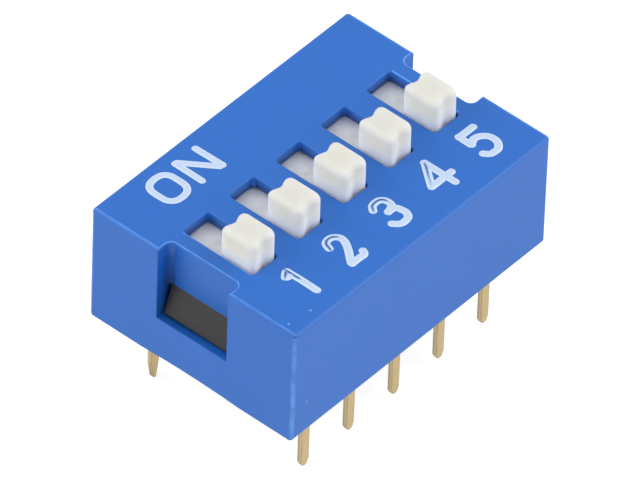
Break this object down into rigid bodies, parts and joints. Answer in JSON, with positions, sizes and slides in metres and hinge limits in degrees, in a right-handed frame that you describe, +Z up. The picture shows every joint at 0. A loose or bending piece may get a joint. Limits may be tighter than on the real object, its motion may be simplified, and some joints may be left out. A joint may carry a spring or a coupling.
{
  "type": "through-hole slide DIP switch",
  "caption": "Slide DIP switch: blue moulded cover over a black base, white sliders in a row of slots, and two rows of gold-plated pins on a standard pin grid.",
  "frame": {"origin": "centre of the seating plane, which is the underside of the cover's rim", "axes": "+X along the row from position 1 to position 5, +Y towards the ON side, +Z up, away from the board"},
  "size_m": [0.0142, 0.0098, 0.0105],
  "materials": {
    "blue_plastic": "satin moulded",
    "black_plastic": "satin moulded",
    "white_plastic": "satin moulded",
    "gold_plate": "bright plated",
    "spring_gold": "bright plated",
    "white_ink": "satin print"
  },
  "bodies": {
    "housing": {"cover": "blue_plastic", "base": "black_plastic", "terminal_off_1": "gold_plate", "terminal_off_2": "gold_plate", "terminal_off_3": "gold_plate", "terminal_off_4": "gold_plate", "terminal_off_5": "gold_plate", "terminal_on_1": "gold_plate", "terminal_on_2": "gold_plate", "terminal_on_3": "gold_plate", "terminal_on_4": "gold_plate", "terminal_on_5": "gold_plate"},
    "slide_1": {"slider_1": "white_plastic", "contact_1": "spring_gold"},
    "slide_2": {"slider_2": "white_plastic", "contact_2": "spring_gold"},
    "slide_3": {"slider_3": "white_plastic", "contact_3": "spring_gold"},
    "slide_4": {"slider_4": "white_plastic", "contact_4": "spring_gold"},
    "slide_5": {"slider_5": "white_plastic", "contact_5": "spring_gold"}
  },
  "joints": [
    {"name": "switch_1", "type": "slide", "parent": "housing", "child": "slide_1", "axis": [0, 1, 0], "range_m": [0, 0.00164]},
    {"name": "switch_2", "type": "slide", "parent": "housing", "child": "slide_2", "axis": [0, 1, 0], "range_m": [0, 0.00164]},
    {"name": "switch_3", "type": "slide", "parent": "housing", "child": "slide_3", "axis": [0, 1, 0], "range_m": [0, 0.00164]},
    {"name": "switch_4", "type": "slide", "parent": "housing", "child": "slide_4", "axis": [0, 1, 0], "range_m": [0, 0.00164]},
    {"name": "switch_5", "type": "slide", "parent": "housing", "child": "slide_5", "axis": [0, 1, 0], "range_m": [0, 0.00164]}
  ]
}
